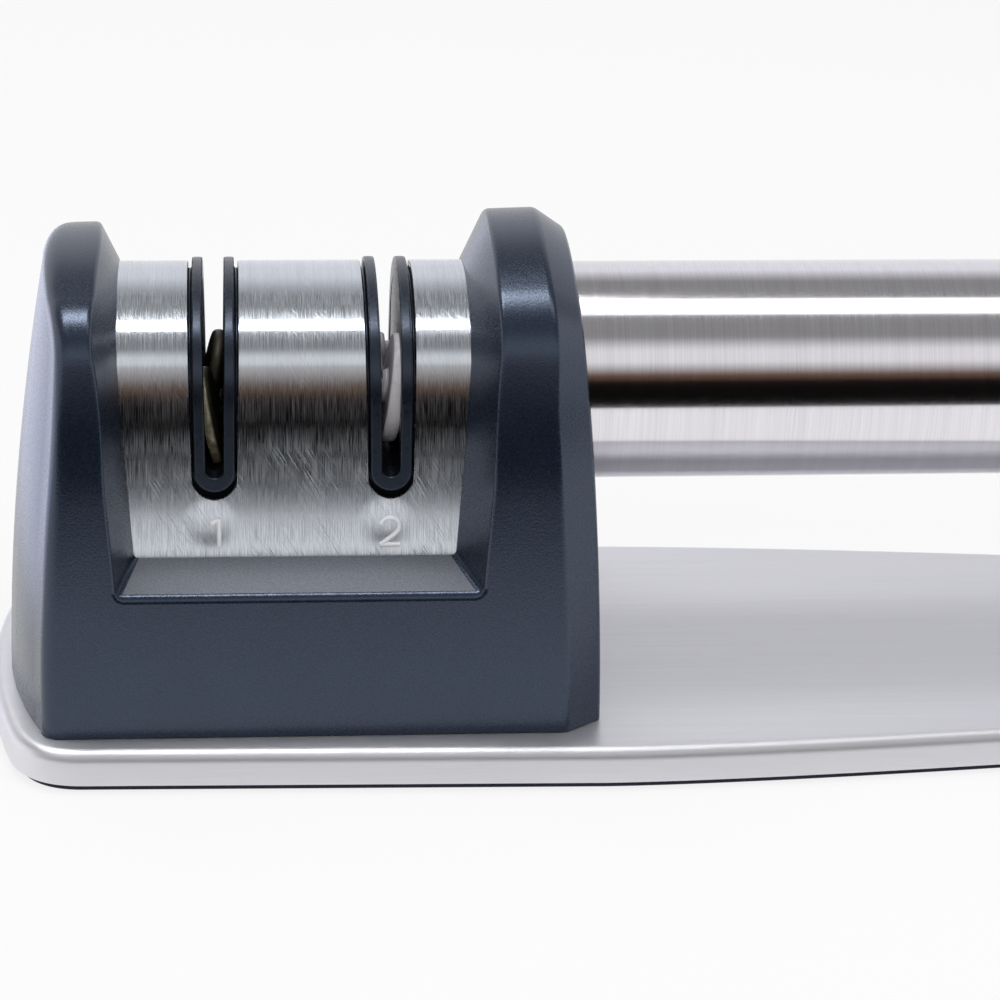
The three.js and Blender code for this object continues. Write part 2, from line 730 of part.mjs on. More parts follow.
place('base_pad', basePad(), navyRubber);
place('base_core', baseCore(), innerAbs);
place('base_plate', basePlate(), brushedSteel);
place('head_housing', headHousing(), blackAbs);
place('inner_chassis', chassis(), innerAbs);
place('steel_cover', steelCover(), brushedSteel);
for (const stage of stages) {
  place(`slot_guide_${stage.name}`, slotGuide(stage), blackAbs);
  for (const row of rows) {
    place(`${stage.name}_disc_${row}`, sharpeningDisc(stage, row), stage.material);
    place(`${stage.name}_pin_${row}`, spindlePin(stage, row), plainSteel);
  }
}
place('handle_tube', handleTube(), brushedSteel);
place('handle_plug', handlePlug(), innerAbs);
place('handle_bolt', handleBolt(), plainSteel);
place('bolt_washer', boltWasher(), plainSteel);
place('handle_end_cap', handleEndCap(), blackAbs);
housingScrews.forEach((at, i) => place(`housing_screw_${i + 1}`, screw(at), plainSteel));
chassisScrews.forEach((at, i) => place(`chassis_screw_${i + 1}`, screw(at), plainSteel));

export default sharpener;
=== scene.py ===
import bpy
import bmesh
import json
import math
from mathutils import Matrix, Vector


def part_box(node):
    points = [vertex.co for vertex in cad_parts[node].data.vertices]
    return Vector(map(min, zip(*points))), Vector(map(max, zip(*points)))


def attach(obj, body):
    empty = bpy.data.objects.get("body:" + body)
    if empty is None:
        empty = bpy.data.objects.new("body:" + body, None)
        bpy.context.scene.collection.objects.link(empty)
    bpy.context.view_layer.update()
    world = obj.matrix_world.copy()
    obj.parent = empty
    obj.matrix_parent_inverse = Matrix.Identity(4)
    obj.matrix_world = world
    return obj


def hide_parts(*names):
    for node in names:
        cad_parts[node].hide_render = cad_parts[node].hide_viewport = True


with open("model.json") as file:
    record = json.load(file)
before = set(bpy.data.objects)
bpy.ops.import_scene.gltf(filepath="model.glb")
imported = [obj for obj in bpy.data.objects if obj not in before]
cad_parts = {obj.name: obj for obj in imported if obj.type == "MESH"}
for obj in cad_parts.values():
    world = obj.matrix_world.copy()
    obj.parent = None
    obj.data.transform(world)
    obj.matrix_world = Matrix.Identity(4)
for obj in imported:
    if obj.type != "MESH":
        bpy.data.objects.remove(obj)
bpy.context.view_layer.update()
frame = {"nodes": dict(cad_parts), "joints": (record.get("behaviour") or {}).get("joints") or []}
scene = bpy.context.scene
scene.view_settings.view_transform = "Standard"
mm = 0.001
mainBody = "sharpener_frame"
print("frame loaded:", len(frame["nodes"]), "nodes")


def linear(colour):  # sRGB hex to linear, with full alpha
    channels = [int(colour[i:i + 2], 16) / 255 for i in (1, 3, 5)]
    return [c / 12.92 if c <= 0.04045 else ((c + 0.055) / 1.055) ** 2.4 for c in channels] + [1.0]


# adds one node with its settings, fixed socket values and links; "stops" fills a colour ramp
def addNode(tree, kind, settings=None, sockets=None):
    node = tree.nodes.new("ShaderNode" + kind)
    for name, value in (settings or {}).items():
        if name == "stops":
            elements = node.color_ramp.elements
            while len(elements) < len(value):
                elements.new(1.0)
            for element, (place, colour) in zip(elements, value):
                element.position = place
                element.color = colour
        else:
            setattr(node, name, value)
    for socket, value in (sockets or {}).items():
        if isinstance(value, bpy.types.NodeSocket):
            tree.links.new(value, node.inputs[socket])
        else:
            node.inputs[socket].default_value = value
    return node


def newFinish(name):  # an empty node material and its tree
    finish = bpy.data.materials.new(name)
    finish.use_nodes = True
    finish.node_tree.nodes.clear()
    return finish, finish.node_tree


def grey(level):
    return (level, level, level, 1.0)


# Camera, set at the photograph's place and angle
view = dict(place=(-68.6, -420.9, 205.4), turn=4.772, down=23.0, roll=-1.314, lens=126.0, sensor=36.0)


def placeCamera():
    turn, down, roll = (math.radians(view[k]) for k in ("turn", "down", "roll"))
    ahead = Vector((math.sin(turn) * math.cos(down), math.cos(turn) * math.cos(down), -math.sin(down)))
    level = Vector((math.cos(turn), -math.sin(turn), 0))
    below = ahead.cross(level)
    right = math.cos(roll) * level + math.sin(roll) * below
    under = -math.sin(roll) * level + math.cos(roll) * below
    data = bpy.data.cameras.new("photoCamera")
    data.lens = view["lens"]
    data.sensor_width = view["sensor"]
    data.clip_end = 20.0
    camera = bpy.data.objects.new("photoCamera", data)
    axes = Matrix((right, -under, -ahead)).transposed().to_4x4()
    camera.matrix_world = Matrix.Translation(Vector(view["place"]) * mm) @ axes
    scene.collection.objects.link(camera)
    scene.camera = camera


placeCamera()
print("camera set")


# Moulded ABS with a spark-eroded grain: a blue-black skin, dull between fine glints
headAbs = dict(colour="#0e1725", mottleColour="#131c2a", grain=0.26, mottle=9.0, roughLow=0.2, roughHigh=0.31,
               bumpDepth=0.03, specular=0.95, tint="#cfe0ff")


def mouldedAbs(name, look):
    finish, tree = newFinish(name)
    where = addNode(tree, "TexCoord").outputs["Object"]
    grain = addNode(tree, "TexNoise", None, {"Vector": where, "Scale": 1 / (look["grain"] * mm), "Detail": 2.0,
                                             "Roughness": 0.6}).outputs["Fac"]
    mottle = addNode(tree, "TexNoise", None, {"Vector": where, "Scale": 1 / (look["mottle"] * mm),
                                              "Detail": 3.0}).outputs["Fac"]
    tint = addNode(tree, "ValToRGB", {"stops": [(0.35, linear(look["colour"])), (0.75, linear(look["mottleColour"]))]},
                   {"Fac": mottle})
    rough = addNode(tree, "MapRange", None, {"Value": grain, "From Min": 0.3, "From Max": 0.7,
                                             "To Min": look["roughLow"], "To Max": look["roughHigh"]})
    bump = addNode(tree, "Bump", None, {"Height": grain, "Strength": 0.5, "Distance": look["bumpDepth"] * mm})
    skin = addNode(tree, "BsdfPrincipled", None, {
        "Base Color": tint.outputs["Color"], "Roughness": rough.outputs["Result"],
        "Normal": bump.outputs["Normal"], "Specular IOR Level": look["specular"], "IOR": 1.53,
        "Specular Tint": linear(look["tint"])})
    addNode(tree, "OutputMaterial", None, {"Surface": skin.outputs["BSDF"]})
    return finish


# Stainless sheet with a brushed finish: fine lines along V of the piece's map, which draw reflections out across them
brushed = dict(colour="#e9e7ec", colourDark="#dcd9de", line=0.2, lineLength=30.0, band=1.6, bandLength=80.0,
               roughLow=0.15, roughHigh=0.23, score=0.02, scoreLength=4.0, scoreSpan=(0.36, 0.64), metallic=1.0,
               bumpDepth=0.002, anisotropy=0.5)
# wiping marks that cross the brush lines, and the shallow dish that pressing left round each numeral
coverMarks = dict(turn=-30.0, width=0.12, length=6.0, patch=7.0, markDepth=0.009, dimples=((-71.2, 6.9), (-49.2, 6.9)),
                  dimpleRadius=4.2, dimpleDepth=0.06)


def brushedStainless(name, look, marks=None):
    finish, tree = newFinish(name)
    where = addNode(tree, "UVMap").outputs["UV"]
    # real brush lines are about 0.05 mm apart, drawn coarser so that they show; the much finer score varies the gloss
    noises = []
    for kind, detail, harshness in (("line", 4.0, 0.65), ("band", 3.0, 0.5), ("score", 1.0, 0.5)):
        stretched = addNode(tree, "Mapping", None, {
            "Vector": where, "Scale": (1 / (look[kind] * mm), 1 / (look[kind + "Length"] * mm), 1.0)})
        noises.append(addNode(tree, "TexNoise", None, {"Vector": stretched.outputs["Vector"], "Scale": 1.0,
                                                       "Detail": detail, "Roughness": harshness}).outputs["Fac"])
    fine, band, score = noises
    bandPart = addNode(tree, "Math", {"operation": "MULTIPLY"}, {0: band, 1: 0.35})
    lines = addNode(tree, "Math", {"operation": "MULTIPLY_ADD"}, {0: fine, 1: 0.65, 2: bandPart.outputs["Value"]})
    tint = addNode(tree, "ValToRGB", {"stops": [(0.36, linear(look["colourDark"])), (0.64, linear(look["colour"]))]},
                   {"Fac": lines.outputs["Value"]})
    deep, even = look["scoreSpan"]
    rough = addNode(tree, "MapRange", None, {"Value": score, "From Min": deep, "From Max": even,
                                             "To Min": look["roughHigh"], "To Max": look["roughLow"]})
    bump = addNode(tree, "Bump", None, {"Height": fine, "Strength": 0.35, "Distance": look["bumpDepth"] * mm})
    if marks:
        turned = addNode(tree, "Mapping", None, {"Vector": where, "Rotation": (0, 0, math.radians(marks["turn"]))})
        markWhere = addNode(tree, "Mapping", None, {
            "Vector": turned.outputs["Vector"], "Scale": (1 / (marks["width"] * mm), 1 / (marks["length"] * mm), 1.0)})
        streak = addNode(tree, "TexNoise", None, {"Vector": markWhere.outputs["Vector"], "Scale": 1.0, "Detail": 2.0})
        patch = addNode(tree, "TexNoise", None, {"Vector": where, "Scale": 1 / (marks["patch"] * mm)})
        thin = addNode(tree, "MapRange", None, {"Value": streak.outputs["Fac"], "From Min": 0.58, "From Max": 0.74})
        here = addNode(tree, "MapRange", None, {"Value": patch.outputs["Fac"], "From Min": 0.42, "From Max": 0.62})
        mark = addNode(tree, "Math", {"operation": "MULTIPLY"}, {0: thin.outputs["Result"], 1: here.outputs["Result"]})
        bump = addNode(tree, "Bump", None, {"Height": mark.outputs["Value"], "Strength": 0.8,
                                            "Distance": marks["markDepth"] * mm, "Normal": bump.outputs["Normal"]})
        for x, along in marks["dimples"]:
            far = addNode(tree, "VectorMath", {"operation": "DISTANCE"}, {0: where, 1: (x * mm, along * mm, 0.0)})
            rise = addNode(tree, "MapRange", {"interpolation_type": "SMOOTHERSTEP"}, {
                "Value": far.outputs["Value"], "From Min": marks["dimpleRadius"] * mm, "From Max": 0.0})
            bump = addNode(tree, "Bump", {"invert": True}, {
                "Height": rise.outputs["Result"], "Strength": 1.0, "Distance": marks["dimpleDepth"] * mm,
                "Normal": bump.outputs["Normal"]})
    across = addNode(tree, "Tangent", {"direction_type": "UV_MAP"})
    sheet = addNode(tree, "BsdfPrincipled", None, {
        "Base Color": tint.outputs["Color"], "Metallic": look["metallic"], "Roughness": rough.outputs["Result"],
        "Anisotropic": look["anisotropy"], "Tangent": across.outputs["Tangent"], "Normal": bump.outputs["Normal"]})
    addNode(tree, "OutputMaterial", None, {"Surface": sheet.outputs["BSDF"]})
    return finish


# Turned and plated steel of pins, bolt and screws: an even grey with faint specks
turnedSteel = dict(colour="#85878c", colourOther="#9b9da1", stops=(0.4, 0.65), patch=0.4, patchDetail=3.0, rough=0.32,
                   metallic=1.0, tooth=None)
# Sintered ceramic: chalk white with a lilac cast, a fine tooth and faint grey where steel has rubbed off on it
chalk = dict(colour="#f3f0f8", colourOther="#cfccd6", stops=(0.5, 0.85), patch=1.6, patchDetail=4.0, rough=0.5,
             metallic=0.0, tooth=0.18, toothDetail=3.0, bumpStrength=0.4, bumpDepth=0.012)
# Moulded rubber: matt navy with a soft cellular grain
pad = dict(colour="#1c1f2e", colourOther="#2a2d3c", stops=(0.4, 0.75), patch=0.5, patchDetail=4.0, rough=0.85,
           metallic=0.0, tooth=0.5, toothDetail=4.0, bumpStrength=0.5, bumpDepth=0.05)


def speckled(name, look):  # a noise tint, and a fine tooth where the look has one
    finish, tree = newFinish(name)
    where = addNode(tree, "TexCoord").outputs["Object"]
    patch = addNode(tree, "TexNoise", None, {"Vector": where, "Scale": 1 / (look["patch"] * mm),
                                             "Detail": look["patchDetail"]})
    low, high = look["stops"]
    tint = addNode(tree, "ValToRGB", {"stops": [(low, linear(look["colour"])), (high, linear(look["colourOther"]))]},
                   {"Fac": patch.outputs["Fac"]})
    sockets = {"Base Color": tint.outputs["Color"], "Metallic": look["metallic"], "Roughness": look["rough"]}
    if look["tooth"]:
        tooth = addNode(tree, "TexNoise", None, {"Vector": where, "Scale": 1 / (look["tooth"] * mm),
                                                 "Detail": look["toothDetail"]})
        bump = addNode(tree, "Bump", None, {"Height": tooth.outputs["Fac"], "Strength": look["bumpStrength"],
                                            "Distance": look["bumpDepth"] * mm})
        sockets["Normal"] = bump.outputs["Normal"]
    shade = addNode(tree, "BsdfPrincipled", None, sockets)
    addNode(tree, "OutputMaterial", None, {"Surface": shade.outputs["BSDF"]})
    return finish


# Coated steel grinding disc: dark grit, rubbed bright where blades run along its rim, the bright rim kept to one face
# as a painted highlight where light falls
grit = dict(colour="#36342b", colourDark="#1f1e1a", worn="#d8d0b4", grain=0.14, wornFrom=6.0, wornTo=6.3,
            wornAndHighlightSide=(0.4, 0.05), patch=0.9, rough=0.5, wornRough=0.28, metallic=0.75, wornMetallic=0.3,
            bumpDepth=0.02)


def abrasiveSteel(name, look):
    finish, tree = newFinish(name)
    where = addNode(tree, "TexCoord").outputs["Object"]
    grain = addNode(tree, "TexVoronoi", None, {"Vector": where, "Scale": 1 / (look["grain"] * mm)}).outputs["Distance"]
    patch = addNode(tree, "TexNoise", None, {"Vector": where, "Scale": 1 / (look["patch"] * mm),
                                             "Detail": 4.0}).outputs["Fac"]
    axes = addNode(tree, "SeparateXYZ", None, {"Vector": where})
    flat = addNode(tree, "CombineXYZ", None, {"X": axes.outputs["X"], "Y": axes.outputs["Y"]})
    radius = addNode(tree, "VectorMath", {"operation": "LENGTH"}, {0: flat.outputs["Vector"]})
    rim = addNode(tree, "MapRange", None, {"Value": radius.outputs["Value"], "From Min": look["wornFrom"] * mm,
                                           "From Max": look["wornTo"] * mm})
    # painted highlight: the rubbed rim shows only on the disc's -Z face, the side the light falls on
    side = addNode(tree, "MapRange", None, {"Value": axes.outputs["Z"], "From Min": look["wornAndHighlightSide"][0] * mm,
                                            "From Max": look["wornAndHighlightSide"][1] * mm})
    edge = addNode(tree, "Math", {"operation": "MULTIPLY"}, {0: rim.outputs["Result"], 1: side.outputs["Result"]})
    rubbed = addNode(tree, "Math", {"operation": "MULTIPLY_ADD", "use_clamp": True},
                     {0: patch, 1: 1.6, 2: -0.1})
    worn = addNode(tree, "Math", {"operation": "MULTIPLY", "use_clamp": True},
                   {0: edge.outputs["Value"], 1: rubbed.outputs["Value"]}).outputs["Value"]
    coat = addNode(tree, "ValToRGB", {"stops": [(0.1, linear(look["colourDark"])), (0.6, linear(look["colour"]))]},
                   {"Fac": grain})
    tint = addNode(tree, "Mix", {"data_type": "RGBA"}, {0: worn, 6: coat.outputs["Color"], 7: linear(look["worn"])})
    rough = addNode(tree, "MapRange", None, {"Value": worn, "To Min": look["rough"], "To Max": look["wornRough"]})
    bump = addNode(tree, "Bump", None, {"Height": grain, "Strength": 0.6, "Distance": look["bumpDepth"] * mm})
    metal = addNode(tree, "MapRange", None, {"Value": worn, "To Min": look["metallic"],
                                             "To Max": look["wornMetallic"]})
    disc = addNode(tree, "BsdfPrincipled", None, {
        "Base Color": tint.outputs[2], "Metallic": metal.outputs["Result"], "Roughness": rough.outputs["Result"],
        "Normal": bump.outputs["Normal"]})
    addNode(tree, "OutputMaterial", None, {"Surface": disc.outputs["BSDF"]})
    return finish


blackAbs = mouldedAbs("blackAbsSparkGrain", headAbs)
# painted sheen: the sill's lighter grey stands in for the overhead light that its up-facing surface catches; the mottle
# is the grain's random tone
sillAbs = mouldedAbs("blackAbsSillPaintedSheen", dict(headAbs, colour="#565a62", mottleColour="#71757e", mottle=0.24,
                                               roughLow=0.44, roughHigh=0.54, tint="#eef2ff"))
innerAbs = mouldedAbs("innerAbsPlain", dict(headAbs, colour="#14161a", mottleColour="#1c1f24", grain=0.6,
                                            roughLow=0.45, roughHigh=0.6, specular=0.5))
guideAbs = mouldedAbs("guideAbsSemiGloss", dict(headAbs, colour="#0d1118", mottleColour="#131821", grain=0.5,
                                                roughLow=0.25, roughHigh=0.36, bumpDepth=0.006, specular=0.7))
# painted shade: near black stands in for the shadow in the gap under the cover's slot edges, on the lips' shelf and on
# the coarse guide
guideShade = mouldedAbs("guideAbsPaintedShadeBlack", dict(headAbs, colour="#030405", mottleColour="#060709", roughLow=0.6,
                                                  roughHigh=0.7, specular=0.15))
coverSteel = brushedStainless("coverBrushedStainless", dict(brushed, colour="#d8dce3", colourDark="#c7ccd4",
                                                            roughLow=0.13, roughHigh=0.5, scoreSpan=(0.32, 0.5)),
                              coverMarks)
# painted highlight: near-white, barely metallic strokes stand in for the bright floor that the numerals' raised tops
# reflect
numeralSteel = brushedStainless("numeralPaintedHighlightSteel", dict(brushed, colour="#fbfcff", colourDark="#f4f6fd",
                                                                roughLow=0.42, roughHigh=0.52, metallic=0.15))
tubeSteel = brushedStainless("tubeBrushedStainless", dict(brushed, roughLow=0.1, roughHigh=0.19))
plateSteel = brushedStainless("plateBrushedStainless", dict(brushed, colour="#e6e6ea", colourDark="#e0e0e5",
                                                            roughLow=0.38, roughHigh=0.47, bumpDepth=0.0012))
plainSteel = speckled("platedSteel", turnedSteel)
coarseDiscFinish = abrasiveSteel("coatedAbrasiveSteel", grit)
# painted shade: a darker copy of the disc finish for the rear disc, its rubbed rim dulled to stand in for the shade it
# sits in
coarseDiscPaintedShade = abrasiveSteel("coatedAbrasiveSteelPaintedShade", dict(grit, worn="#5a5646", wornRough=0.45))
blackenedSteel = speckled("blackOxideSteel", dict(turnedSteel, colour="#08090b", colourOther="#0d0e10", rough=0.6))
fineDiscFinish = speckled("sinteredWhiteCeramic", chalk)
padRubber = speckled("navyMouldedRubber", pad)
print("finishes made:", len(bpy.data.materials))


def mix(a, b, t):
    return a + (b - a) * t


# Mesh helpers: points are in millimetres until a piece is built
def addGrid(mesh, rows, maps=None, closed=False, finishIndex=0):
    layer = mesh.loops.layers.uv.verify()
    corners = [[mesh.verts.new(p) for p in row] for row in rows]
    count = len(rows[0])
    for r in range(len(rows) - 1):
        for c in range(count if closed else count - 1):
            places = [(r, c), (r, c + 1), (r + 1, c + 1), (r + 1, c)]
            face = mesh.faces.new([corners[i][j % count] for i, j in places])
            face.material_index = finishIndex
            if maps:
                for loop, (i, j) in zip(face.loops, places):
                    loop[layer].uv = [value * mm for value in maps[i][j]]
    return corners


def buildPiece(name, mesh, finish, body=mainBody, stands=(), place=None, crease=None, inside=None):
    bmesh.ops.remove_doubles(mesh, verts=mesh.verts, dist=0.003)
    bmesh.ops.dissolve_degenerate(mesh, edges=mesh.edges, dist=0.002)
    if inside is not None:  # faces look away from a point inside the piece
        mesh.normal_update()
        outward = sum((f.calc_center_median() - Vector(inside)).dot(f.normal) * f.calc_area() for f in mesh.faces)
        if outward < 0:
            bmesh.ops.reverse_faces(mesh, faces=mesh.faces)
    bmesh.ops.scale(mesh, vec=(mm, mm, mm), verts=mesh.verts)
    data = bpy.data.meshes.new(name)
    mesh.to_mesh(data)
    mesh.free()
    data.polygons.foreach_set("use_smooth", [True] * len(data.polygons))
    if crease:
        data.set_sharp_from_angle(angle=math.radians(crease))
    data.materials.append(finish)
    piece = bpy.data.objects.new(name, data)
    scene.collection.objects.link(piece)
    if place is not None:
        piece.matrix_world = place
    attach(piece, body)
    if stands:
        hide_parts(*stands)
    return piece


def softEdges(piece, width, angle=30, segments=3):
    bevel = piece.modifiers.new("softEdges", "BEVEL")
    bevel.width = width * mm
    bevel.segments = segments
    bevel.limit_method = "ANGLE"
    bevel.angle_limit = math.radians(angle)
    bevel.harden_normals = True
    bevel.miter_outer = "MITER_ARC"
    bevel.material = 0
    return bevel


# The arch that the cover and the head share, seen from the left end: straight leaning legs, a slack lower shoulder,
# a tighter upper shoulder and a flat crest, each arc given by the tilt of its normal
arch = dict(halfDepth=17.2, legLean=3.5, easeEnd=22.0, easeRadius=30.0, headEaseEnd=20.0, headEaseRadius=50.0,
            shoulderRadius=10.9, crestRadius=24.0, shoulderZ=45.6, crestZ=58.1, legRows=8, shoulderRows=22,
            crestRows=8)


def archArcs(easeEnd, easeRadius):  # (first tilt, centre y, centre z, radius) of the front half's arcs, crest first
    lean = arch["legLean"]
    top = math.degrees(math.acos((arch["halfDepth"] - arch["shoulderRadius"])
                                 / (arch["crestRadius"] - arch["shoulderRadius"])))
    fall = {tilt: math.cos(math.radians(tilt - lean)) for tilt in (lean, easeEnd, top)}
    # the upper radius that keeps the leg where a single round shoulder would put it
    single = arch["shoulderRadius"] * (1 - fall[top])
    upper = (single - easeRadius * (1 - fall[easeEnd])) / (fall[easeEnd] - fall[top])
    arcs = [(top, 0.0, arch["crestZ"] - arch["crestRadius"], arch["crestRadius"])]
    for low, radius in ((easeEnd, upper), (lean, easeRadius)):
        high, y, z, before = arcs[-1]
        turn = math.radians(high)
        arcs.append((low, y - (before - radius) * math.cos(turn), z + (before - radius) * math.sin(turn), radius))
    return arcs


arch["arcs"] = archArcs(arch["easeEnd"], arch["easeRadius"])
arch["headArcs"] = archArcs(arch["headEaseEnd"], arch["headEaseRadius"])
arch["roundArcs"] = archArcs(arch["legLean"], arch["shoulderRadius"])
arch["shoulderTop"] = arch["arcs"][0][0]


def archPoint(tilt, offset, arcs=arch["arcs"]):  # (y, z) on the front half of the arch, set out by an offset
    angle = math.radians(tilt)
    y, z, radius = next(arc[1:] for arc in arcs if tilt >= arc[0] - 1e-6)
    return y - (radius + offset) * math.cos(angle), z + (radius + offset) * math.sin(angle)


def legTop(offset, arcs=arch["arcs"]):  # height where a leg meets its shoulder
    return archPoint(arch["legLean"], offset, arcs)[1]


def legHalf(offset, z):  # half the depth between the legs at a height
    y, top = archPoint(arch["legLean"], offset)
    return -y + (top - z) * math.tan(math.radians(arch["legLean"]))


archRows = ([("arch", mix(arch["legLean"], arch["shoulderTop"], i / arch["shoulderRows"]))
             for i in range(1, arch["shoulderRows"] + 1)]
            + [("arch", mix(arch["shoulderTop"], 90.0, i / arch["crestRows"]))
               for i in range(1, arch["crestRows"] + 1)])

# Head housing: arched pillars either side of a bevelled window, on a skirt that spreads to its foot
head = dict(left=-97.6, right=-22.0, foot=5.7, top=64.9, proud=7.4, leftCrown=-3.2, rightCrown=-0.8, crownFrom=20.0,
            leftLean=6.5, rightLean=3.9, leanPower=1.7, endRadius=62.0, edgeRadius=2.4, chamferX=4.6, chamferInset=3.6,
            chamferCrownX=1.1, chamferCrown=1.2, spineRise=0.9, skirtRows=6, skirtColumns=10, rolledEdge=1.35,
            softShare=0.6, softAngle=24.0, rolledReach=1.5, rolledZ=26.0, edgeSteps=6)
window = dict(halfWidth=21.85, middle=-60.65, straightZ=51.0, narrowing=1.7, bevelLeft=(0.3, 0.52),
              bevelRight=(0.44, 0.51), sillZ=26.5, sillSlope=0.29, tuck=0.5)


def smooth(low, high, value):  # an eased step from 0 to 1
    t = min(1.0, max(0.0, (value - low) / (high - low)))
    return t * t * (3 - 2 * t)


def crestShare(z):  # how far up the shoulders a point lies: 0 at the legs, 1 at the crest
    return smooth(arch["shoulderZ"], arch["crestZ"], z)


def headPoint(row, inset, crown):  # a point (y, z) of the head's skin in a front row, and its distance from the cover
    kind, at = row
    reach = head["proud"] - inset
    if kind == "arch":
        reach += crown * smooth(head["crownFrom"], 90.0, at)
        return (*archPoint(at, reach, arch["headArcs"]), reach)
    sill = window["sillZ"] - window["sillSlope"] * reach
    z = mix(legTop(reach, arch["headArcs"]), sill, at) if kind == "leg" else mix(head["foot"], sill, at)
    return -legHalf(reach, z), z, reach


def headLean(z):
    return max(0.0, (z - head["foot"]) / (head["top"] - head["foot"])) ** head["leanPower"]


def leftFace(y, z):
    return head["left"] + head["leftLean"] * headLean(z) + y * y / (2 * head["endRadius"])


def rightFace(z):
    return head["right"] - head["rightLean"] * headLean(z)


def headRow(row):  # the columns of one front row: left part, window edges and right part, as (x, y, z)
    kind, at = row
    left, right = [], []
    edgeY, edgeZ, _ = headPoint(row, head["edgeRadius"], head["leftCrown"])
    spineZ = head["foot"] + (edgeZ - head["foot"]) * head["spineRise"]
    for t in (1.0, 0.75, 0.5, 0.25, 0.1):
        y, z = edgeY * (1 - t), mix(edgeZ, spineZ, t)
        left.append((leftFace(y, z), y, z))
    faceX = leftFace(edgeY, edgeZ)
    for i in range(head["edgeSteps"] + 1):
        angle = math.pi / 2 * (1 - i / head["edgeSteps"])
        y, z, _ = headPoint(row, head["edgeRadius"] * (1 - math.cos(angle)), head["leftCrown"])
        left.append((faceX + head["edgeRadius"] * (1 - math.sin(angle)), y, z))
    stripLeft = faceX + head["edgeRadius"]
    stripZ = headPoint(row, 0.0, head["rightCrown"])[1]
    stripRight = rightFace(stripZ) - head["chamferX"] + head["chamferCrownX"] * crestShare(stripZ)

    def skin(x):
        t = (x - stripLeft) / (stripRight - stripLeft)
        return headPoint(row, 0.0, mix(head["leftCrown"], head["rightCrown"], t))

    if kind in ("leg", "skirt"):
        innerZ = mix(legTop(0.0), window["sillZ"], at) if kind == "leg" else window["sillZ"]
        innerY, tuckedY, tuckedZ = -legHalf(0.0, innerZ), window["tuck"] - legHalf(0.0, innerZ), innerZ
    else:
        innerY, innerZ = archPoint(at, 0.0)
        tuckedY, tuckedZ = archPoint(at, -window["tuck"])
    down = max(0.0, (window["straightZ"] - innerZ) / (window["straightZ"] - window["sillZ"]))
    half = window["halfWidth"] - window["narrowing"] * down
    inner, outer = [], []
    for side, slope in ((-1, window["bevelLeft"]), (1, window["bevelRight"])):
        innerX = window["middle"] + side * half
        outerX = innerX
        for _ in range(4):
            outerX = innerX + side * mix(*slope, crestShare(innerZ)) * skin(outerX)[2]
        inner.append(innerX)
        outer.append(outerX)
    for t in (0.35, 0.7, 1.0):
        x = mix(stripLeft, outer[0], t)
        left.append((x, *skin(x)[:2]))
    for t in (0.0, 0.4, 1.0):
        x = mix(outer[1], stripRight, t)
        right.append((x, *skin(x)[:2]))
    y, z, _ = headPoint(row, head["chamferInset"], head["rightCrown"] + head["chamferCrown"])
    right.append((rightFace(z), y, z))
    spineZ = head["foot"] + (z - head["foot"]) * head["spineRise"]
    for t in (0.33, 0.66, 1.0):
        right.append((rightFace(mix(z, spineZ, t)), y * (1 - t), mix(z, spineZ, t)))
    middle = []
    for i in range(head["skirtColumns"] + 1):
        x = mix(outer[0], outer[1], i / head["skirtColumns"])
        middle.append((x, *skin(x)[:2]))
    return dict(left=left, right=right, middle=middle, innerLeft=(inner[0], innerY, innerZ),
                innerRight=(inner[1], innerY, innerZ), tuckLeft=(inner[0], tuckedY, tuckedZ),
                tuckRight=(inner[1], tuckedY, tuckedZ))


def mirrored(rows):  # a front half's rows and then their back twins
    back = [[(x, -y, z) for x, y, z in row] for row in reversed(rows[:-1])]
    return rows + back


def between(a, b, t):
    return tuple(mix(p, q, t) for p, q in zip(a, b))


